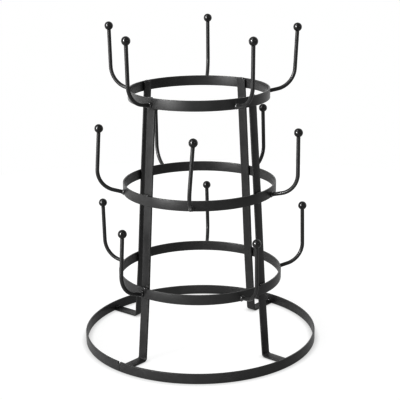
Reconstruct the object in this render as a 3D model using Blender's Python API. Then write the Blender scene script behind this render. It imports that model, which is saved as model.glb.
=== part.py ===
"""Mug tree: three hoops on four splayed legs over a wide base hoop, with five bent wire
pegs on each upper hoop and a ball knob on the tip of every peg.

Metres, +Z up.  The origin is the centre of the base hoop at the level that it stands on.
Angles run counter-clockwise from +X, and the front of the stand faces -Y.
"""

import math

import bmesh
import bpy
from mathutils import Matrix, Vector

MM = 0.001

# Stock: one flat strip for the hoops and the legs, one round wire for the pegs.
STRIP_WIDTH = 12.3 * MM
STRIP_THICKNESS = 2 * MM
WIRE_RADIUS = 2.25 * MM
BALL_RADIUS = 5.25 * MM

# Clearance between pieces that touch, and round the wire in its ball's socket.
GAP = 0.3 * MM
SOCKET_CLEARANCE = 0.4 * MM

# Hoops: outer radius, and height of the upper edge.
BASE_RING = (146 * MM, STRIP_WIDTH)
LOWER_RING = (102 * MM, 92.5 * MM)
MIDDLE_RING = (94.5 * MM, 205.5 * MM)
TOP_RING = (86 * MM, 321 * MM)

# The welded frame is a little out of true: how far it drifts in X and in Y on its way up,
# as a share of the height.  The base hoop lies flat and the other hoops stay level.
DRIFT = Vector((0.005, 0.004))

# Legs: inside the hoops, splayed outward, bent into a foot that runs to the base hoop.
# Directions from the axis in degrees; they are nearly square, but not quite.
LEG_DIRECTIONS = {
    "leg_front_left": -132,
    "leg_front_right": -41,
    "leg_back_right": 49,
    "leg_back_left": 141.5,
}
LEG_TOP_BELOW_RING_EDGE = 1 * MM
LEG_HEEL_RADIUS = 105.5 * MM
LEG_BEND_RADIUS = 3.5 * MM
LEG_BEND_STEPS = 6
FOOT_LIFT = 0.5 * MM

# Peg wire: a short straight run out of the hoop, one bend, and a long upright.
PEG_RISE = math.radians(12)
PEG_RUN = 12.3 * MM
PEG_BEND_RADIUS = 26.4 * MM
PEG_BEND_ANGLE = math.radians(77)
PEG_BEND_STEPS = 10
PEG_UPRIGHT = 50 * MM

# Five pegs stand evenly round each upper hoop.  Every hoop is turned half round from the one
# above it, so its pegs stand between that hoop's pegs.  Their welds sit a little below the
# middle of the strip.
PEGS_PER_HOOP = 5
PEG_SPACING = 360 / PEGS_PER_HOOP
FIRST_PEG = 84
HOOP_TURN = 180
PEG_LIFT = -2.5 * MM

# Pegs that stand visibly off true: turn round the hoop, sideways lean and outward lean, in
# whole degrees.
OFF_TRUE_PEGS = {
    "top_peg_5": (0, 0, 2),
    "middle_peg_1": (0, -4, -10),
    "middle_peg_2": (0, 0, -1),
    "middle_peg_3": (0, 0, -3),
    "middle_peg_4": (-4, 0, 0),
    "middle_peg_5": (0, 0, -5),
    "lower_peg_1": (1, -1, 0),
    "lower_peg_3": (-2, 2, -7),
    "lower_peg_4": (-1, 1, 0),
    "lower_peg_5": (0, 0, -2),
}

# Black powder coat: grey level and roughness.
RING_COAT = (0.022, 0.42)
LEG_COAT = (0.024, 0.45)
WIRE_COAT = (0.018, 0.38)
BALL_COAT = (0.015, 0.32)

RING_SEGMENTS = 96
BALL_SEGMENTS = 18
BALL_RINGS = 10
WIRE_BEVEL_RESOLUTION = 2
SMOOTH_ANGLE = math.radians(40)
ON_AXIS = 1e-9


def clear_scene():
    for obj in list(bpy.data.objects):
        bpy.data.objects.remove(obj, do_unlink=True)


def coat(name, grey, roughness):
    """Black powder coat over steel."""
    material = bpy.data.materials.new(name)
    material.use_nodes = True
    shader = material.node_tree.nodes["Principled BSDF"]
    shader.inputs["Base Color"].default_value = (grey, grey, grey, 1)
    shader.inputs["Roughness"].default_value = roughness
    shader.inputs["Metallic"].default_value = 0
    return material


def add_object(name, data, material):
    if not data.materials:
        data.materials.append(material)
    obj = bpy.data.objects.new(name, data)
    bpy.context.scene.collection.objects.link(obj)
    return obj


def finish_mesh(bm, name):
    bmesh.ops.recalc_face_normals(bm, faces=bm.faces)
    mesh = bpy.data.meshes.new(name)
    bm.to_mesh(mesh)
    bm.free()
    mesh.shade_smooth()
    mesh.set_sharp_from_angle(angle=SMOOTH_ANGLE)
    return mesh


def arc(centre, radius, start, end, steps):
    """Points (radius from axis, height) along an arc, ends included."""
    points = []
    for step in range(steps + 1):
        angle = start + (end - start) * step / steps
        points.append(centre + radius * Vector((math.cos(angle), math.sin(angle))))
    return points


def lathe(name, profile, segments, closed):
    """Turn a profile of (radius, height) points round Z.

    A closed profile gives a hoop.  An open one starts and ends on the axis.
    """
    bm = bmesh.new()
    loops = []
    for radius, height in profile:
        if radius < ON_AXIS:
            loops.append([bm.verts.new((0, 0, height))] * segments)
            continue
        loop = []
        for segment in range(segments):
            angle = 2 * math.pi * segment / segments
            loop.append(bm.verts.new((radius * math.cos(angle), radius * math.sin(angle), height)))
        loops.append(loop)
    last = len(loops) if closed else len(loops) - 1
    for row in range(last):
        below, above = loops[row], loops[(row + 1) % len(loops)]
        for segment in range(segments):
            after = (segment + 1) % segments
            corners = [below[segment], below[after], above[after], above[segment]]
            bm.faces.new(list(dict.fromkeys(corners)))
    return finish_mesh(bm, name)


def ring_centre(ring):
    """Where the middle of a hoop stands, in plan."""
    _, upper = ring
    return (DRIFT * (upper - STRIP_WIDTH)).to_3d()


def make_ring(name, ring, material):
    outer, upper = ring
    inner = outer - STRIP_THICKNESS
    lower = upper - STRIP_WIDTH
    profile = ((inner, lower), (outer, lower), (outer, upper), (inner, upper))
    hoop = add_object(name, lathe(name, profile, RING_SEGMENTS, closed=True), material)
    hoop.location = ring_centre(ring)


def reach_inside(ring):
    """How far out a flat face as wide as the strip can stand inside a hoop."""
    outer, _ = ring
    inner = outer - STRIP_THICKNESS - GAP
    return math.sqrt(inner ** 2 - (STRIP_WIDTH / 2) ** 2)


def leg_centre_line():
    """Middle of the strip, as (radius, height) points from its top to the end of its foot."""
    welds = []
    for ring in (TOP_RING, MIDDLE_RING, LOWER_RING):
        _, upper = ring
        welds.append(Vector((reach_inside(ring) - STRIP_THICKNESS / 2, upper - STRIP_WIDTH)))
    slope = (welds[0].x - welds[1].x) / (welds[0].y - welds[1].y)
    height = STRIP_WIDTH - LEG_TOP_BELOW_RING_EDGE
    top = welds[0] + Vector((slope * height, height))

    heel = Vector((LEG_HEEL_RADIUS, FOOT_LIFT + STRIP_THICKNESS / 2))
    down = (heel - welds[-1]).normalized()
    turn = math.pi / 2 - math.atan2(down.x, -down.y)
    setback = LEG_BEND_RADIUS * math.tan(turn / 2)
    centre = heel + Vector((setback, LEG_BEND_RADIUS))
    bend = arc(centre, LEG_BEND_RADIUS, -math.pi / 2 - turn, -math.pi / 2, LEG_BEND_STEPS)
    toe = Vector((reach_inside(BASE_RING), heel.y))
    return [top, *welds, *bend, toe]


def offset_line(points, distance):
    """The line moved sideways by distance, with mitred corners."""
    runs = [(end - start).normalized() for start, end in zip(points, points[1:])]
    moved = []
    for index, point in enumerate(points):
        behind = runs[max(index - 1, 0)]
        ahead = runs[min(index, len(runs) - 1)]
        along = (ahead + behind).normalized()
        side = Vector((-along.y, along.x))
        moved.append(point + side * distance / along.dot(ahead))
    return moved


def leg_mesh(name, direction):
    """Flat strip: the outline seen from the side, extruded to the strip's width, then turned
    to its direction and moved by the drift of the frame."""
    line = leg_centre_line()
    outer_side = offset_line(line, STRIP_THICKNESS / 2)
    inner_side = offset_line(line, -STRIP_THICKNESS / 2)
    outline = outer_side + inner_side[::-1]
    half = STRIP_WIDTH / 2
    bm = bmesh.new()
    near = [bm.verts.new((point.x, -half, point.y)) for point in outline]
    far = [bm.verts.new((point.x, half, point.y)) for point in outline]
    count = len(outline)
    for index in range(count):
        after = (index + 1) % count
        bm.faces.new((near[index], near[after], far[after], far[index]))
    for index in range(len(line) - 1):
        across = count - 1 - index
        for side in (near, far):
            bm.faces.new((side[index], side[index + 1], side[across - 1], side[across]))
    for vertex in bm.verts:
        vertex.co.rotate(Matrix.Rotation(direction, 3, "Z"))
        vertex.co += (DRIFT * vertex.co.z).to_3d()
    return finish_mesh(bm, name)


def make_legs(material):
    for name, direction in LEG_DIRECTIONS.items():
        add_object(name, leg_mesh(name, math.radians(direction)), material)


def peg_centre_line():
    """Middle of the wire, as (radius, height) points from the weld to its tip."""
    run = PEG_RUN * Vector((math.cos(PEG_RISE), math.sin(PEG_RISE)))
    centre = run + PEG_BEND_RADIUS * Vector((-math.sin(PEG_RISE), math.cos(PEG_RISE)))
    first = PEG_RISE - math.pi / 2
    bend = arc(centre, PEG_BEND_RADIUS, first, first + PEG_BEND_ANGLE, PEG_BEND_STEPS)
    upright = PEG_RISE + PEG_BEND_ANGLE
    tip = bend[-1] + PEG_UPRIGHT * Vector((math.cos(upright), math.sin(upright)))
    return [Vector((0, 0)), *bend, tip]


def peg_curve():
    curve = bpy.data.curves.new("peg_wire", "CURVE")
    curve.dimensions = "3D"
    curve.bevel_depth = WIRE_RADIUS
    curve.bevel_resolution = WIRE_BEVEL_RESOLUTION
    curve.use_fill_caps = True
    curve.render_resolution_u = 0
    line = peg_centre_line()
    spline = curve.splines.new("POLY")
    spline.points.add(len(line) - 1)
    for point, place in zip(spline.points, line):
        point.co = (place.x, 0, place.y, 1)
    spline.use_smooth = True
    return curve


def ball_mesh():
    """Ball with a blind socket for the wire, centred on the ball, socket facing down."""
    socket = WIRE_RADIUS + SOCKET_CLEARANCE
    mouth = -math.acos(socket / BALL_RADIUS)
    outside = arc(Vector((0, 0)), BALL_RADIUS, mouth, math.pi / 2, BALL_RINGS)
    outside[-1].x = 0
    profile = [(0, GAP), (socket, GAP), *outside]
    return lathe("ball", profile, BALL_SEGMENTS, closed=False)


def make_pegs(tier, ring, first_peg, wire, ball, wire_coat, ball_coat):
    """Five wires on one hoop, each with a ball on its tip."""
    outer, upper = ring
    tip = peg_centre_line()[-1]
    upright = PEG_RISE + PEG_BEND_ANGLE
    for number in range(1, PEGS_PER_HOOP + 1):
        turn, sideways, outward = OFF_TRUE_PEGS.get(f"{tier}_peg_{number}", (0, 0, 0))
        azimuth = bpy.data.objects.new(f"{tier}_azimuth_{number}", None)
        azimuth.location = ring_centre(ring)
        azimuth.rotation_euler.z = math.radians(first_peg + (number - 1) * PEG_SPACING + turn)
        bpy.context.scene.collection.objects.link(azimuth)

        # The tilted end of the wire stands off the strip by what its rim gains.
        stand_off = GAP + WIRE_RADIUS * abs(math.sin(PEG_RISE - math.radians(outward)))
        peg = add_object(f"{tier}_peg_{number}", wire, wire_coat)
        peg.parent = azimuth
        peg.location = (outer + stand_off, 0, upper - STRIP_WIDTH / 2 + PEG_LIFT)
        peg.rotation_euler = (math.radians(sideways), math.radians(outward), 0)

        knob = add_object(f"{tier}_ball_{number}", ball, ball_coat)
        knob.parent = peg
        knob.location = (tip.x, 0, tip.y)
        knob.rotation_euler.y = math.pi / 2 - upright


def main():
    clear_scene()
    ring_coat = coat("ring_coat", *RING_COAT)
    leg_coat = coat("leg_coat", *LEG_COAT)
    wire_coat = coat("wire_coat", *WIRE_COAT)
    ball_coat = coat("ball_coat", *BALL_COAT)

    make_ring("base_ring", BASE_RING, ring_coat)
    make_ring("lower_ring", LOWER_RING, ring_coat)
    make_ring("middle_ring", MIDDLE_RING, ring_coat)
    make_ring("top_ring", TOP_RING, ring_coat)
    make_legs(leg_coat)

    wire = peg_curve()
    ball = ball_mesh()
    tiers = (("top", TOP_RING), ("middle", MIDDLE_RING), ("lower", LOWER_RING))
    for level, (tier, ring) in enumerate(tiers):
        first_peg = FIRST_PEG + level * HOOP_TURN
        make_pegs(tier, ring, first_peg, wire, ball, wire_coat, ball_coat)


main()
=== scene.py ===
import math

import bmesh
import bpy
import numpy as np
from mathutils import Matrix, Vector, noise


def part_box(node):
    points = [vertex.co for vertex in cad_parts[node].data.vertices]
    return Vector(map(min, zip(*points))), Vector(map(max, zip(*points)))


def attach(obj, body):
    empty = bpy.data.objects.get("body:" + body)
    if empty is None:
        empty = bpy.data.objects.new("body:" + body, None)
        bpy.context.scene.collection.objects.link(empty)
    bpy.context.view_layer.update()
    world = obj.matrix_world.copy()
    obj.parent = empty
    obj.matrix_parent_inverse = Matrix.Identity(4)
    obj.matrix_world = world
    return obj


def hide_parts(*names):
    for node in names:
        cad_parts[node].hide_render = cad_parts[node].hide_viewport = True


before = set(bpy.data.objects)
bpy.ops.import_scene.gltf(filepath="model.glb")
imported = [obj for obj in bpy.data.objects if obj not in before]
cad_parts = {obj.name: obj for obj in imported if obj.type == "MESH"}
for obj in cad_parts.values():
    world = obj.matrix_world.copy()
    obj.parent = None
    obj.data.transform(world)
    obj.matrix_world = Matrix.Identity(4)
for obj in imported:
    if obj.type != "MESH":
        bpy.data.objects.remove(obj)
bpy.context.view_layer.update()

# Looks of the mug tree.  Metres, +Z up, front towards -Y.  The hoops, legs, pegs and balls
# stand for the CAD solids of the same name with finer meshes, placed where the frame has them.
# The weld beads and hoop seams ride on the frame as extra detail.

MM = 0.001

TIERS = ("top", "middle", "lower")
UPPER_RINGS = ("top_ring", "middle_ring", "lower_ring")
RINGS = (*UPPER_RINGS, "base_ring")
LEGS = ("leg_front_left", "leg_front_right", "leg_back_right", "leg_back_left")
PEGS_PER_TIER = 5

STRIP_WIDTH = 12.3 * MM
STRIP_THICKNESS = 2 * MM
STRIP_EDGE_RADIUS = 0.5 * MM
GAP = 0.3 * MM
WIRE_RADIUS = 2.25 * MM
BALL_RADIUS = 5.25 * MM

# The strip of a leg, the same on every leg.
LEG_TOP_BELOW_RING_EDGE = 1 * MM
LEG_HEEL_RADIUS = 105.5 * MM
LEG_BEND_RADIUS = 3.5 * MM
LEG_BEND_STEPS = 16
LEG_STATION_SPACING = 6 * MM
FOOT_LIFT = 0.5 * MM
END_RADIUS = 0.4 * MM
END_STEPS = 4

# The bent wire of a peg, the same on every peg.
PEG_RISE = math.radians(12)
PEG_RUN = 12.3 * MM
PEG_BEND_RADIUS = 26.4 * MM
PEG_BEND_ANGLE = math.radians(77)
PEG_UPRIGHT = 50 * MM

# How finely the pieces are meshed, and how near the axis a point counts as on it.
RING_SEGMENTS = 288
CORNER_STEPS = 4
PEG_BEND_STEPS = 28
PEG_UPRIGHT_STEPS = 10
WIRE_SIDES = 24
BALL_SEGMENTS = 48
BALL_STEPS = 28
SMOOTH_ANGLE = math.radians(35)
ON_AXIS = 1e-9

# Contrast of the finished picture; below 1 deepens the greys and keeps white white.
VIEW_GAMMA = 0.6


# ---------------------------------------------------------------- mesh helpers

def mesh_object(name, bm, sharp_angle=SMOOTH_ANGLE):
    bmesh.ops.recalc_face_normals(bm, faces=bm.faces)
    mesh = bpy.data.meshes.new(name)
    bm.to_mesh(mesh)
    bm.free()
    mesh.shade_smooth()
    mesh.set_sharp_from_angle(angle=sharp_angle)
    obj = bpy.data.objects.new(name, mesh)
    bpy.context.scene.collection.objects.link(obj)
    return obj


def arc(centre_x, centre_y, radius, start, end, steps):
    points = []
    for step in range(steps + 1):
        angle = start + (end - start) * step / steps
        points.append((centre_x + radius * math.cos(angle), centre_y + radius * math.sin(angle)))
    return points


def rounded_rectangle(left, right, low, high, radius, steps):
    """Closed outline, counter-clockwise from the lower left corner."""
    quarter = math.pi / 2
    corners = (
        (left + radius, low + radius, 2),
        (right - radius, low + radius, 3),
        (right - radius, high - radius, 0),
        (left + radius, high - radius, 1),
    )
    outline = []
    for x, y, turn in corners:
        outline += arc(x, y, radius, turn * quarter, (turn + 1) * quarter, steps)
    return outline


def lathe(profile, segments):
    """Turns (radius, height) points round Z; they start and end on the axis."""
    bm = bmesh.new()
    loops = []
    for radius, height in profile:
        if radius < ON_AXIS:
            loops.append([bm.verts.new((0, 0, height))] * segments)
            continue
        loop = []
        for segment in range(segments):
            angle = 2 * math.pi * segment / segments
            loop.append(bm.verts.new((radius * math.cos(angle), radius * math.sin(angle), height)))
        loops.append(loop)
    for below, above in zip(loops, loops[1:]):
        for segment in range(segments):
            after = (segment + 1) % segments
            corners = [below[segment], below[after], above[after], above[segment]]
            bm.faces.new(list(dict.fromkeys(corners)))
    return bm


# ---------------------------------------------------------------- materials

COAT_IOR = 1.5
TONE_SCALE = 70
TONE_SPREAD = 0.25
GRAIN_SCALE = 1400
GLOSS_SPREAD = 0.06
PEEL_DEPTH = 0.05 * MM


def powder_coat(name, grey, roughness, peel, specular=0.5):
    """Satin black powder coat: orange-peel surface, faint drifts of gloss and tone."""
    material = bpy.data.materials.new(name)
    material.use_nodes = True
    tree = material.node_tree
    shader = tree.nodes["Principled BSDF"]
    shader.inputs["Metallic"].default_value = 0
    shader.inputs["IOR"].default_value = COAT_IOR
    shader.inputs["Specular IOR Level"].default_value = specular

    place = tree.nodes.new("ShaderNodeTexCoord")

    drift = tree.nodes.new("ShaderNodeTexNoise")
    drift.inputs["Scale"].default_value = TONE_SCALE
    drift.inputs["Detail"].default_value = 4
    tree.links.new(place.outputs["Object"], drift.inputs["Vector"])

    tone = tree.nodes.new("ShaderNodeMapRange")
    tone.inputs["To Min"].default_value = grey * (1 - TONE_SPREAD)
    tone.inputs["To Max"].default_value = grey * (1 + TONE_SPREAD)
    tree.links.new(drift.outputs["Fac"], tone.inputs["Value"])
    tree.links.new(tone.outputs["Result"], shader.inputs["Base Color"])

    grain = tree.nodes.new("ShaderNodeTexNoise")
    grain.inputs["Scale"].default_value = GRAIN_SCALE
    grain.inputs["Detail"].default_value = 2
    tree.links.new(place.outputs["Object"], grain.inputs["Vector"])

    blend = tree.nodes.new("ShaderNodeMath")
    blend.operation = "ADD"
    tree.links.new(drift.outputs["Fac"], blend.inputs[0])
    tree.links.new(grain.outputs["Fac"], blend.inputs[1])

    gloss = tree.nodes.new("ShaderNodeMapRange")
    gloss.inputs["From Min"].default_value = 0.6
    gloss.inputs["From Max"].default_value = 1.4
    gloss.inputs["To Min"].default_value = roughness - GLOSS_SPREAD
    gloss.inputs["To Max"].default_value = roughness + GLOSS_SPREAD
    tree.links.new(blend.outputs["Value"], gloss.inputs["Value"])
    tree.links.new(gloss.outputs["Result"], shader.inputs["Roughness"])

    bump = tree.nodes.new("ShaderNodeBump")
    bump.inputs["Strength"].default_value = peel
    bump.inputs["Distance"].default_value = PEEL_DEPTH
    tree.links.new(grain.outputs["Fac"], bump.inputs["Height"])
    tree.links.new(bump.outputs["Normal"], shader.inputs["Normal"])
    return material


hoop_coat = powder_coat("hoop_powder_coat", grey=0.04, roughness=0.37, peel=0.25)
leg_coat = powder_coat("leg_powder_coat", grey=0.033, roughness=0.42, peel=0.25)
wire_coat = powder_coat("wire_powder_coat", grey=0.035, roughness=0.30, peel=0.12)
ball_coat = powder_coat("ball_powder_coat", grey=0.015, roughness=0.15, peel=0.05, specular=0.7)
weld_coat = powder_coat("weld_powder_coat", grey=0.06, roughness=0.18, peel=0.4, specular=0.7)


def dress(obj, material, node=None):
    obj.data.materials.clear()
    obj.data.materials.append(material)
    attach(obj, "root")
    if node:
        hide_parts(node)


# ---------------------------------------------------------------- hoops

def ring_size(node):
    """Outer radius of a hoop, and the heights of its lower and upper edge."""
    low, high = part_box(node)
    return (high.x - low.x) / 2, low.z, high.z


def ring_centre(node):
    """Where the middle of a hoop stands, in plan."""
    low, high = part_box(node)
    return ((low + high) / 2).to_2d().to_3d()


# How far the frame drifts in X and Y on its way up, as a share of the height.
DRIFT = ring_centre("top_ring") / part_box("top_ring")[0].z


def drifted(place):
    """A place on the true frame, moved to where the drift of the frame takes it."""
    return place + DRIFT * place.z


def strip_outline(inner, outer, low, high):
    return rounded_rectangle(inner, outer, low, high, STRIP_EDGE_RADIUS, CORNER_STEPS)


def make_ring(node, azimuth, seam):
    """Rounded strip, turned round the stand and closed by a butt weld at its seam."""
    half_width, recess, inner_recess, notch_half_width, notch = seam
    outer, low, high = ring_size(node)
    inner = outer - STRIP_THICKNESS
    plain = strip_outline(inner, outer, low, high)
    notched = strip_outline(inner, outer, low, high - notch)
    joint = strip_outline(inner + inner_recess, outer - recess, low + recess, high - notch)
    centre = math.radians(azimuth)
    columns = []
    for segment in range(RING_SEGMENTS):
        angle = centre + 2 * math.pi * (segment + 0.5) / RING_SEGMENTS
        columns.append((angle, plain))
    seam_columns = (
        (half_width, joint),
        (half_width + SEAM_SLOPE, notched),
        (notch_half_width, notched),
        (notch_half_width + SEAM_SLOPE, plain),
    )
    for reach, outline in seam_columns:
        columns.append((centre + 2 * math.pi - reach / outer, outline))
        columns.append((centre + 2 * math.pi + reach / outer, outline))
    columns.sort(key=lambda column: column[0])

    bm = bmesh.new()
    loops = []
    for angle, outline in columns:
        cosine, sine = math.cos(angle), math.sin(angle)
        loops.append([bm.verts.new((radius * cosine, radius * sine, height))
                      for radius, height in outline])
    for first, second in zip(loops, loops[1:] + loops[:1]):
        for index in range(len(plain)):
            after = (index + 1) % len(plain)
            bm.faces.new((first[index], first[after], second[after], second[index]))
    ring = mesh_object(node + "_strip", bm)
    ring.data.transform(Matrix.Translation(ring_centre(node)))
    dress(ring, hoop_coat, node)


# The butt weld of a hoop: half width of the joint, how far it lies below the outer face and
# below the inner face, and half width and depth of a notch in the upper edge.  A filled joint
# stands a little proud; an open one is not filled up to the edge, which leaves the notch.
FILLED_JOINT = (1.3 * MM, -0.12 * MM, 0, 1.9 * MM, -0.06 * MM)
OPEN_JOINT = (0.4 * MM, 0.35 * MM, 0.35 * MM, 1.5 * MM, 2.4 * MM)
SEAM_SLOPE = 0.15 * MM

# Where each hoop is closed, as an azimuth in degrees, and how.
SEAMS = {
    "top_ring": (118, FILLED_JOINT),
    "middle_ring": (64, FILLED_JOINT),
    "lower_ring": (103, FILLED_JOINT),
    "base_ring": (-131.7, OPEN_JOINT),
}
for ring_name in RINGS:
    make_ring(ring_name, *SEAMS[ring_name])


# ---------------------------------------------------------------- legs

def reach_inside(node):
    """How far out a flat face as wide as the strip can stand inside a hoop."""
    outer, _, _ = ring_size(node)
    return math.sqrt((outer - STRIP_THICKNESS - GAP) ** 2 - (STRIP_WIDTH / 2) ** 2)


def leg_centre_line():
    """Middle of the strip, as (radius, height) points from its top to the end of its foot."""
    welds = []
    for node in UPPER_RINGS:
        _, low, _ = ring_size(node)
        welds.append(Vector((reach_inside(node) - STRIP_THICKNESS / 2, low)))
    slope = (welds[0].x - welds[1].x) / (welds[0].y - welds[1].y)
    height = STRIP_WIDTH - LEG_TOP_BELOW_RING_EDGE
    top = welds[0] + Vector((slope * height, height))

    heel = Vector((LEG_HEEL_RADIUS, FOOT_LIFT + STRIP_THICKNESS / 2))
    down = (heel - welds[-1]).normalized()
    turn = math.pi / 2 - math.atan2(down.x, -down.y)
    setback = LEG_BEND_RADIUS * math.tan(turn / 2)
    quarter = math.pi / 2
    bend = arc(heel.x + setback, heel.y + LEG_BEND_RADIUS, LEG_BEND_RADIUS,
               -quarter - turn, -quarter, LEG_BEND_STEPS)
    toe = Vector((reach_inside("base_ring"), heel.y))
    return [top, *welds, *[Vector(point) for point in bend], toe]


def leg_stations():
    """Places along the leg, as (radius, height, heading, inset); the inset rounds its two ends."""
    line = leg_centre_line()
    stations = []
    for start, end in zip(line, line[1:]):
        steps = max(1, round((end - start).length / LEG_STATION_SPACING))
        stations += [start.lerp(end, step / steps) for step in range(steps)]
    stations.append(line[-1])
    rows = []
    for index, point in enumerate(stations):
        along = stations[min(index + 1, len(stations) - 1)] - stations[max(index - 1, 0)]
        rows.append((point, along.normalized(), 0))
    rounded = []
    for step in range(END_STEPS):
        turn = math.pi / 2 * step / END_STEPS
        rounded.append((END_RADIUS * (1 - math.sin(turn)), END_RADIUS * (1 - math.cos(turn))))
    first, heading, _ = rows[0]
    last, arriving, _ = rows[-1]
    head = [(first + heading * back, heading, inset) for inset, back in rounded]
    tail = [(last - arriving * back, arriving, inset) for inset, back in reversed(rounded)]
    rows[0] = (first + heading * END_RADIUS, heading, 0)
    rows[-1] = (last - arriving * END_RADIUS, arriving, 0)
    return head + rows + tail


TOE_DEPTH = 0.2 * MM


def leg_direction(node):
    """Direction of a leg from the axis, read from the end of its foot in the frame."""
    places = [vertex.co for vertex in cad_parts[node].data.vertices]
    reach = max(place.xy.length for place in places)
    toe = [place.xy for place in places if place.xy.length > reach - TOE_DEPTH]
    middle = sum(toe, Vector((0, 0)))
    return math.atan2(middle.y, middle.x)


# How much of the inset at a leg's ends its rounded edges give up.
CORNER_SHRINK = 0.9


def make_leg(node, angle, stations):
    """The strip of a leg: rounded edges and one bend into the foot."""
    out = Vector((math.cos(angle), math.sin(angle), 0))
    side = Vector((-math.sin(angle), math.cos(angle), 0))
    bm = bmesh.new()
    loops = []
    for point, along, inset in stations:
        across = Vector((-along.y, along.x))
        middle = out * point.x + Vector((0, 0, point.y))
        half_width = STRIP_WIDTH / 2 - inset
        half_thickness = STRIP_THICKNESS / 2 - inset
        outline = rounded_rectangle(-half_width, half_width, -half_thickness, half_thickness,
                                    STRIP_EDGE_RADIUS - inset * CORNER_SHRINK, CORNER_STEPS)
        loop = []
        for wide, thick in outline:
            lift = out * across.x * thick + Vector((0, 0, across.y * thick))
            loop.append(bm.verts.new(drifted(middle + side * wide + lift)))
        loops.append(loop)
    count = len(loops[0])
    for first, second in zip(loops, loops[1:]):
        for index in range(count):
            after = (index + 1) % count
            bm.faces.new((first[index], first[after], second[after], second[index]))
    bm.faces.new(loops[0])
    bm.faces.new(loops[-1])
    leg = mesh_object(node + "_strip", bm)
    dress(leg, leg_coat, node)


LEG_STATIONS = leg_stations()
LEG_DIRECTIONS = {leg_name: leg_direction(leg_name) for leg_name in LEGS}
for leg_name in LEGS:
    make_leg(leg_name, LEG_DIRECTIONS[leg_name], LEG_STATIONS)


# ---------------------------------------------------------------- pegs and balls

def peg_centre_line():
    """(outward, up) points of the wire's middle from its weld to its tip."""
    run_x = PEG_RUN * math.cos(PEG_RISE)
    run_z = PEG_RUN * math.sin(PEG_RISE)
    centre_x = run_x - PEG_BEND_RADIUS * math.sin(PEG_RISE)
    centre_z = run_z + PEG_BEND_RADIUS * math.cos(PEG_RISE)
    first = PEG_RISE - math.pi / 2
    bend = arc(centre_x, centre_z, PEG_BEND_RADIUS, first, first + PEG_BEND_ANGLE, PEG_BEND_STEPS)
    upright = PEG_RISE + PEG_BEND_ANGLE
    line = [(0, 0), (run_x / 2, run_z / 2), *bend]
    foot_x, foot_z = bend[-1]
    for step in range(1, PEG_UPRIGHT_STEPS + 1):
        along = PEG_UPRIGHT * step / PEG_UPRIGHT_STEPS
        line.append((foot_x + along * math.cos(upright), foot_z + along * math.sin(upright)))
    return line


PEG_LINE = peg_centre_line()
PEG_TIP = PEG_LINE[-1]

# How deep the ends of the CAD wire are looked for, from its weld and from its tip.
WELD_END = 2 * MM
TIP_END = 1.5 * MM


def peg_frame(node, centre):
    """Where a peg stands: its weld end is the origin, X runs outward and Z up, in its own plane."""
    places = {tuple(round(value, 6) for value in vertex.co)
              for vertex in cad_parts[node].data.vertices}
    places = np.array(sorted(places))
    reach = np.hypot(places[:, 0] - centre.x, places[:, 1] - centre.y)
    weld = places[reach < reach.min() + WELD_END].mean(axis=0)
    tip = places[places[:, 2] > places[:, 2].max() - TIP_END].mean(axis=0)
    normal = np.linalg.svd(places - places.mean(axis=0))[2][2]
    along = (tip - weld) / np.linalg.norm(tip - weld)
    across = np.cross(along, normal)
    angle = math.atan2(PEG_TIP[1], PEG_TIP[0])
    outward = math.cos(angle) * along - math.sin(angle) * across
    if np.dot(outward[:2], weld[:2]) < 0 or np.cross(normal, outward)[2] > 0:
        normal, across = -normal, -across
        outward = math.cos(angle) * along - math.sin(angle) * across
    up = math.sin(angle) * along + math.cos(angle) * across
    axes = Matrix((outward, normal, up)).transposed().to_4x4()
    return Matrix.Translation(Vector(weld)) @ axes


def make_wire(node, place):
    bm = bmesh.new()
    loops = []
    for index, (x, z) in enumerate(PEG_LINE):
        before = PEG_LINE[max(index - 1, 0)]
        after = PEG_LINE[min(index + 1, len(PEG_LINE) - 1)]
        heading = math.atan2(after[1] - before[1], after[0] - before[0])
        loop = []
        for side in range(WIRE_SIDES):
            angle = 2 * math.pi * side / WIRE_SIDES
            out = WIRE_RADIUS * math.cos(angle)
            loop.append(bm.verts.new((x - out * math.sin(heading), WIRE_RADIUS * math.sin(angle),
                                      z + out * math.cos(heading))))
        loops.append(loop)
    for first, second in zip(loops, loops[1:]):
        for side in range(WIRE_SIDES):
            after = (side + 1) % WIRE_SIDES
            bm.faces.new((first[side], first[after], second[after], second[side]))
    bm.faces.new(loops[0])
    bm.faces.new(loops[-1])
    wire = mesh_object(node + "_wire", bm)
    wire.data.transform(place)
    dress(wire, wire_coat, node)


# Collar of paint where the wire enters the ball: its radius, how far it stands off the wire,
# and how far up it goes inside the ball.
COLLAR_RADIUS = 0.7 * MM
COLLAR_STAND_OFF = 0.03 * MM
COLLAR_TOP = 0.3 * MM
COLLAR_STEPS = 5


def ball_profile():
    neck = WIRE_RADIUS + COLLAR_STAND_OFF
    centre_r = neck + COLLAR_RADIUS
    centre_z = -math.sqrt((BALL_RADIUS + COLLAR_RADIUS) ** 2 - centre_r ** 2)
    toward = math.atan2(-centre_z, -centre_r)
    fillet = arc(centre_r, centre_z, COLLAR_RADIUS, math.pi, toward, COLLAR_STEPS)
    touch = math.atan2(centre_z, centre_r)
    surface = arc(0, 0, BALL_RADIUS, touch, math.pi / 2, BALL_STEPS)[1:]
    surface[-1] = (0, BALL_RADIUS)
    return [(0, COLLAR_TOP), (neck, COLLAR_TOP), *fillet, *surface]


def make_ball(node, place):
    lean = math.pi / 2 - (PEG_RISE + PEG_BEND_ANGLE)
    seat = place @ Matrix.Translation((PEG_TIP[0], 0, PEG_TIP[1])) @ Matrix.Rotation(lean, 4, "Y")
    ball = mesh_object(node + "_knob", lathe(ball_profile(), BALL_SEGMENTS))
    ball.data.transform(seat)
    dress(ball, ball_coat, node)


# ---------------------------------------------------------------- welds

BEAD_SEGMENTS = 28
BEAD_RINGS = 16
BEAD_SQUARENESS = 3
BEAD_SMOOTH_ANGLE = math.radians(80)

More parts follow.
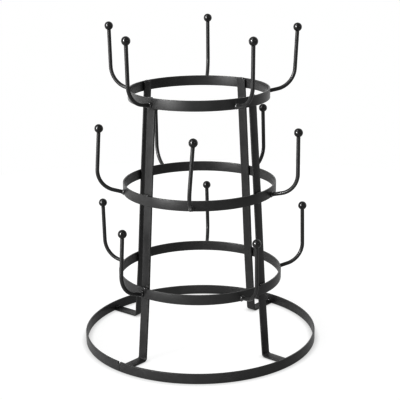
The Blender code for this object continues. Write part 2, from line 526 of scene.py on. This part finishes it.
# Lumps of weld metal, as (share of the size, scale of the noise): broad swell, then ripple.
# Seeds only have to differ, so that no two beads are alike.
SWELL = (0.18, 1.7)
RIPPLE = (0.072, 5)


def lumps(kind, way, shift=Vector((0, 0, 0))):
    share, scale = kind
    return share * noise.noise(way * scale + shift)


def bead(name, place, size, seed):
    """Lumpy bead of weld metal; its size is along X, across in Y and up in Z."""
    bm = bmesh.new()
    bmesh.ops.create_uvsphere(bm, u_segments=BEAD_SEGMENTS, v_segments=BEAD_RINGS, radius=1)
    for vertex in bm.verts:
        way = vertex.co.normalized()
        swell = 1 + lumps(SWELL, way, Vector((seed * 3.1, seed * 1.7, seed)))
        swell += lumps(RIPPLE, way, Vector((seed, seed * 2.3, 0)))
        powers = sum(abs(part) ** BEAD_SQUARENESS for part in way)
        co = way * powers ** (-1 / BEAD_SQUARENESS) * swell
        vertex.co = [part * extent / 2 for part, extent in zip(co, size)]
    piece = mesh_object(name, bm, BEAD_SMOOTH_ANGLE)
    piece.data.transform(place)
    dress(piece, weld_coat)


# Fillet where a wire meets its hoop: radius at its foot and its neck, how far it runs up the
# wire, and how deep it sits in the strip.
FILLET_FOOT = 3.7 * MM
FILLET_NECK = 2.05 * MM
FILLET_REACH = 2.3 * MM
FILLET_DEPTH = 0.5 * MM
FILLET_STEPS = 8
FILLET_SEGMENTS = 32
FILLET_SMOOTH_ANGLE = math.radians(60)
FILLET_HUB = 0.1 * MM
FILLET_SWELL = (0.22, 1.3)
FILLET_RIPPLE = (0.08, 4)


def peg_weld(name, place, seed):
    """Fillet round the end of the wire, run out over the face of the strip."""
    profile = [(0, -FILLET_DEPTH), (FILLET_FOOT, -FILLET_DEPTH)]
    for step in range(FILLET_STEPS + 1):
        turn = math.pi / 2 * step / FILLET_STEPS
        radius = FILLET_FOOT - (FILLET_FOOT - FILLET_NECK) * math.sin(turn)
        profile.append((radius, FILLET_REACH * (1 - math.cos(turn))))
    profile.append((0, FILLET_REACH))
    bm = lathe(profile, FILLET_SEGMENTS)
    for vertex in bm.verts:
        angle = math.atan2(vertex.co.y, vertex.co.x)
        around = Vector((math.cos(angle), math.sin(angle), seed * 2.7))
        swell = 1 + lumps(FILLET_SWELL, around) + lumps(FILLET_RIPPLE, around)
        if vertex.co.xy.length > FILLET_HUB:
            vertex.co.x *= swell
            vertex.co.y *= swell
    piece = mesh_object(name, bm, FILLET_SMOOTH_ANGLE)
    piece.data.transform(place @ Matrix.Rotation(math.pi / 2, 4, "Y"))
    dress(piece, weld_coat)


def make_pegs():
    """Wire, ball and weld of every peg."""
    for level, tier in enumerate(TIERS):
        for number in range(1, PEGS_PER_TIER + 1):
            stand = peg_frame(f"{tier}_peg_{number}", ring_centre(f"{tier}_ring"))
            make_wire(f"{tier}_peg_{number}", stand)
            make_ball(f"{tier}_ball_{number}", stand)
            peg_weld(f"{tier}_peg_{number}_weld", stand, number + 7 * level)


make_pegs()


def on_ring(angle, radius, height):
    """Frame at a place on a hoop: X along the strip, Y outward, Z up."""
    turn = Matrix.Rotation(angle - math.pi / 2, 4, "Z")
    spot = Vector((radius * math.cos(angle), radius * math.sin(angle), height))
    return Matrix.Translation(drifted(spot)) @ turn


# Weld beads of the legs, as (along, out, up) sizes, and how far they sit from the strip of the
# hoop: above it on its inside, below it on the face of the leg, and at the end of the foot.
BEAD_ABOVE = (7.5 * MM, 2.6 * MM, 2.4 * MM)
BEAD_BELOW = (6.5 * MM, 2.2 * MM, 1.8 * MM)
BEAD_FOOT = (9 * MM, 2.8 * MM, 2.4 * MM)
ABOVE_INSET = 0.4 * MM
ABOVE_DROP = 0.5 * MM
BELOW_OUTSET = 0.4 * MM
FOOT_INSET = 0.2 * MM
FOOT_RISE = 3.6 * MM
TURN_ABOVE = 0.012
TURN_BELOW = 0.010


def weld_leg(node, leg_number):
    """Beads that join a leg to the three upper hoops and to the base hoop."""
    direction = LEG_DIRECTIONS[node]
    for ring_number, ring in enumerate(UPPER_RINGS):
        outer, low, high = ring_size(ring)
        inner = outer - STRIP_THICKNESS
        seed = 1 + leg_number * 5 + ring_number * 2
        stray = seed % 3 - 1
        above = on_ring(direction + TURN_ABOVE * stray, inner - ABOVE_INSET, high - ABOVE_DROP)
        bead(f"{node}_{ring}_weld_above", above, BEAD_ABOVE, seed)
        below = on_ring(direction - TURN_BELOW * stray, inner + BELOW_OUTSET, low)
        bead(f"{node}_{ring}_weld_below", below, BEAD_BELOW, seed + 40)
    outer, low, _ = ring_size("base_ring")
    toe = on_ring(direction, outer - STRIP_THICKNESS - FOOT_INSET, low + FOOT_RISE)
    bead(f"{node}_foot_weld", toe, BEAD_FOOT, leg_number + 80)


for leg_number, leg_name in enumerate(LEGS):
    weld_leg(leg_name, leg_number)

# A run of blobs from the face of the front left leg down over the edge of the lower hoop:
# where it starts, from the outer face and the upper edge, and its step to the next blob.
RUN_BLOBS = 3
RUN_BLOB = (3.2 * MM, 2.6 * MM, 3.6 * MM)
RUN_AZIMUTH = -129
RUN_TURN = 1.8
RUN_START = -2 * MM
RUN_OUT = 1.2 * MM
RUN_RISE = 3 * MM
RUN_DROP = 3.8 * MM


def weld_run():
    outer, _, high = ring_size("lower_ring")
    for step in range(RUN_BLOBS):
        azimuth = math.radians(RUN_AZIMUTH - RUN_TURN * step)
        radius = outer + RUN_START + RUN_OUT * step
        blob = on_ring(azimuth, radius, high + RUN_RISE - RUN_DROP * step)
        bead(f"lower_weld_run_{step}", blob, RUN_BLOB, 60 + step)


weld_run()


# ---------------------------------------------------------------- stage, light, camera

FLOOR_RADIUS = 0.9
FLOOR_SEGMENTS = 96
FLOOR_ROUGHNESS = 0.9
FLOOR_GREY = 0.05

# How brightly the floor glows for the camera and for light that bounces, and how far out and
# how deeply a painted contact shadow darkens that glow where something stands on it.
FLOOR_WHITE = 0.94
FLOOR_BOUNCE = 0.97
CONTACT_SHADOW_REACH = 8 * MM
CONTACT_SHADOW_DEPTH = 0.5
CONTACT_SHADOW_SAMPLES = 8


def camera_switch(tree, seen, unseen):
    """The first value for what the camera sees, the second for light that bounces."""
    rays = tree.nodes.new("ShaderNodeLightPath")
    pick = tree.nodes.new("ShaderNodeMapRange")
    pick.inputs["To Min"].default_value = unseen
    pick.inputs["To Max"].default_value = seen
    tree.links.new(rays.outputs["Is Camera Ray"], pick.inputs["Value"])
    return pick.outputs["Result"]


def make_floor():
    """Pale glowing floor, a little darker where it is close to the stand: a painted contact shadow.
    """
    bm = bmesh.new()
    bmesh.ops.create_circle(bm, cap_ends=True, segments=FLOOR_SEGMENTS, radius=FLOOR_RADIUS)
    floor = mesh_object("floor", bm)
    material = bpy.data.materials.new("pale_floor")
    material.use_nodes = True
    tree = material.node_tree
    shader = tree.nodes["Principled BSDF"]
    shader.inputs["Base Color"].default_value = (FLOOR_GREY, FLOOR_GREY, FLOOR_GREY, 1)
    shader.inputs["Roughness"].default_value = FLOOR_ROUGHNESS
    shader.inputs["Specular IOR Level"].default_value = 0
    shader.inputs["Emission Color"].default_value = (1, 1, 1, 1)
    # Painted contact shadow: ambient occlusion darkens the floor's glow near the stand.
    contact_shadow = tree.nodes.new("ShaderNodeAmbientOcclusion")
    contact_shadow.samples = CONTACT_SHADOW_SAMPLES
    contact_shadow.inputs["Distance"].default_value = CONTACT_SHADOW_REACH
    shade = tree.nodes.new("ShaderNodeMapRange")
    shade.inputs["To Min"].default_value = 1 - CONTACT_SHADOW_DEPTH
    shade.inputs["To Max"].default_value = 1
    tree.links.new(contact_shadow.outputs["AO"], shade.inputs["Value"])
    glow = tree.nodes.new("ShaderNodeMath")
    glow.operation = "MULTIPLY"
    tree.links.new(camera_switch(tree, FLOOR_WHITE, FLOOR_BOUNCE), glow.inputs[0])
    tree.links.new(shade.outputs["Result"], glow.inputs[1])
    tree.links.new(glow.outputs["Value"], shader.inputs["Emission Strength"])
    floor.data.materials.append(material)


make_floor()


def direction_vector(azimuth, elevation):
    """Unit vector towards a place in the surroundings, from angles in degrees."""
    azimuth, elevation = math.radians(azimuth), math.radians(elevation)
    flat = math.cos(elevation)
    return (flat * math.cos(azimuth), flat * math.sin(azimuth), math.sin(elevation))


def add_glow(tree, way, azimuth, elevation, inner, outer, strength):
    """Soft round panel of light in the surroundings; inner and outer are its radii in degrees."""
    dot = tree.nodes.new("ShaderNodeVectorMath")
    dot.operation = "DOT_PRODUCT"
    dot.inputs[1].default_value = direction_vector(azimuth, elevation)
    tree.links.new(way, dot.inputs[0])
    fall = tree.nodes.new("ShaderNodeMapRange")
    fall.interpolation_type = "SMOOTHSTEP"
    fall.inputs["From Min"].default_value = math.cos(math.radians(outer))
    fall.inputs["From Max"].default_value = math.cos(math.radians(inner))
    fall.inputs["To Min"].default_value = 0
    fall.inputs["To Max"].default_value = strength
    tree.links.new(dot.outputs["Value"], fall.inputs["Value"])
    return fall.outputs["Result"]


def add_values(tree, first, second):
    node = tree.nodes.new("ShaderNodeMath")
    node.operation = "ADD"
    tree.links.new(first, node.inputs[0])
    tree.links.new(second, node.inputs[1])
    return node.outputs["Value"]


# Soft panels round the stand: (azimuth, elevation, inner radius, outer radius, strength).
PANELS = (
    (-138, -4, 6, 24, 6.6),
    (-142, 22, 8, 28, 0.5),
    (-144, 20, 4, 11, 60),
    (-150, 52, 8, 24, 5.5),
    (175, 5, 15, 45, 0.6),
    (125, -18, 12, 50, 1.2),
    (90, 32, 8, 34, 1.0),
    (-46, 20, 3, 9, 5),
    (40, 10, 15, 55, 0.9),
)
AMBIENT = 0.70


def make_surroundings():
    """Even light with soft panels for the stand, and plain white for the camera."""
    world = bpy.data.worlds.new("studio")
    bpy.context.scene.world = world
    world.use_nodes = True
    tree = world.node_tree
    background = tree.nodes["Background"]
    background.inputs["Color"].default_value = (1, 1, 1, 1)
    place = tree.nodes.new("ShaderNodeTexCoord")
    ambient = tree.nodes.new("ShaderNodeValue")
    ambient.outputs[0].default_value = AMBIENT
    total = ambient.outputs[0]
    for panel in PANELS:
        total = add_values(tree, total, add_glow(tree, place.outputs["Generated"], *panel))
    tree.links.new(total, background.inputs["Strength"])

    backdrop = tree.nodes.new("ShaderNodeBackground")
    backdrop.inputs["Color"].default_value = (1, 1, 1, 1)
    rays = tree.nodes.new("ShaderNodeLightPath")
    mix = tree.nodes.new("ShaderNodeMixShader")
    tree.links.new(rays.outputs["Is Camera Ray"], mix.inputs[0])
    tree.links.new(background.outputs[0], mix.inputs[1])
    tree.links.new(backdrop.outputs[0], mix.inputs[2])
    tree.links.new(mix.outputs[0], tree.nodes["World Output"].inputs["Surface"])


make_surroundings()


LENS = 97.51
SENSOR_WIDTH = 36
LENS_SHIFT = 0.0028
CAMERA_PLACE = (0, -1.2919, 0.5556)
CAMERA_TILT = math.radians(73.781)
CAMERA_ROLL = math.radians(-0.67)


def make_camera():
    data = bpy.data.cameras.new("camera")
    data.lens = LENS
    data.sensor_width = SENSOR_WIDTH
    data.shift_x = LENS_SHIFT
    camera = bpy.data.objects.new("camera", data)
    bpy.context.scene.collection.objects.link(camera)
    camera.matrix_world = (Matrix.Translation(CAMERA_PLACE)
                           @ Matrix.Rotation(CAMERA_TILT, 4, "X")
                           @ Matrix.Rotation(CAMERA_ROLL, 4, "Z"))
    bpy.context.scene.camera = camera


make_camera()
bpy.context.scene.view_settings.view_transform = "Standard"
bpy.context.scene.view_settings.gamma = VIEW_GAMMA
